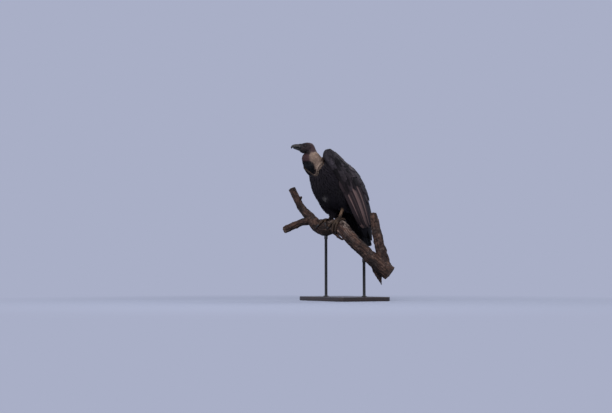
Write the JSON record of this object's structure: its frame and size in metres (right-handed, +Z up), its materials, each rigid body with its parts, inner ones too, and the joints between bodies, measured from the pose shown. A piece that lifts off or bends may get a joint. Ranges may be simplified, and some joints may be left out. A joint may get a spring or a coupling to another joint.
{
  "type": "vulture, a life-size mounted model perched on a branch",
  "caption": "Life-size dark-plumed vulture with a hunched stance and thin hooked bill, gripping a cut length of dead branch held over a flat base by two short rods.",
  "frame": {"origin": "centre of the base's underside, on the floor", "axes": "+Z up; the bird's body faces -Y and its left side is towards +X"},
  "size_m": [0.5232, 0.5031, 0.8728],
  "materials": {
    "plumage": "matt blackish-brown contour feathers",
    "coverts": "matt slate-brown wing coverts",
    "quills": "satin brown-black flight feathers",
    "down": "soft buff down",
    "face": "dusky bare skin with sparse down",
    "bill": "worn grey horn",
    "eye": "wet dark brown",
    "leg": "dull brown scaled skin",
    "claw": "satin black horn",
    "bark": "dry weathered bark",
    "stand_board": "satin black paint",
    "stand_rod": "satin black paint"
  },
  "bodies": {
    "root": {"bill_lower": "bill", "bill_upper": "bill", "branch_limb": "bark", "branch_prong": "bark", "branch_stub": "bark", "branch_twig": "bark", "claw_left_hind": "claw", "claw_left_inner": "claw", "claw_left_middle": "claw", "claw_left_outer": "claw", "claw_right_hind": "claw", "claw_right_inner": "claw", "claw_right_middle": "claw", "claw_right_outer": "claw", "eye_left": "eye", "eye_right": "eye", "foot_left": "leg", "foot_right": "leg", "head": "face", "neck": "face", "ruff": "down", "stand_base": "stand_board", "stand_rod_left": "stand_rod", "stand_rod_right": "stand_rod", "tail": "quills", "tarsus_left": "leg", "tarsus_right": "leg", "thigh_left": "plumage", "thigh_right": "plumage", "trunk": "plumage", "wing_left_coverts": "coverts", "wing_left_primaries": "quills", "wing_left_secondaries": "quills", "wing_right_coverts": "coverts", "wing_right_primaries": "quills", "wing_right_secondaries": "quills"}
  },
  "joints": []
}
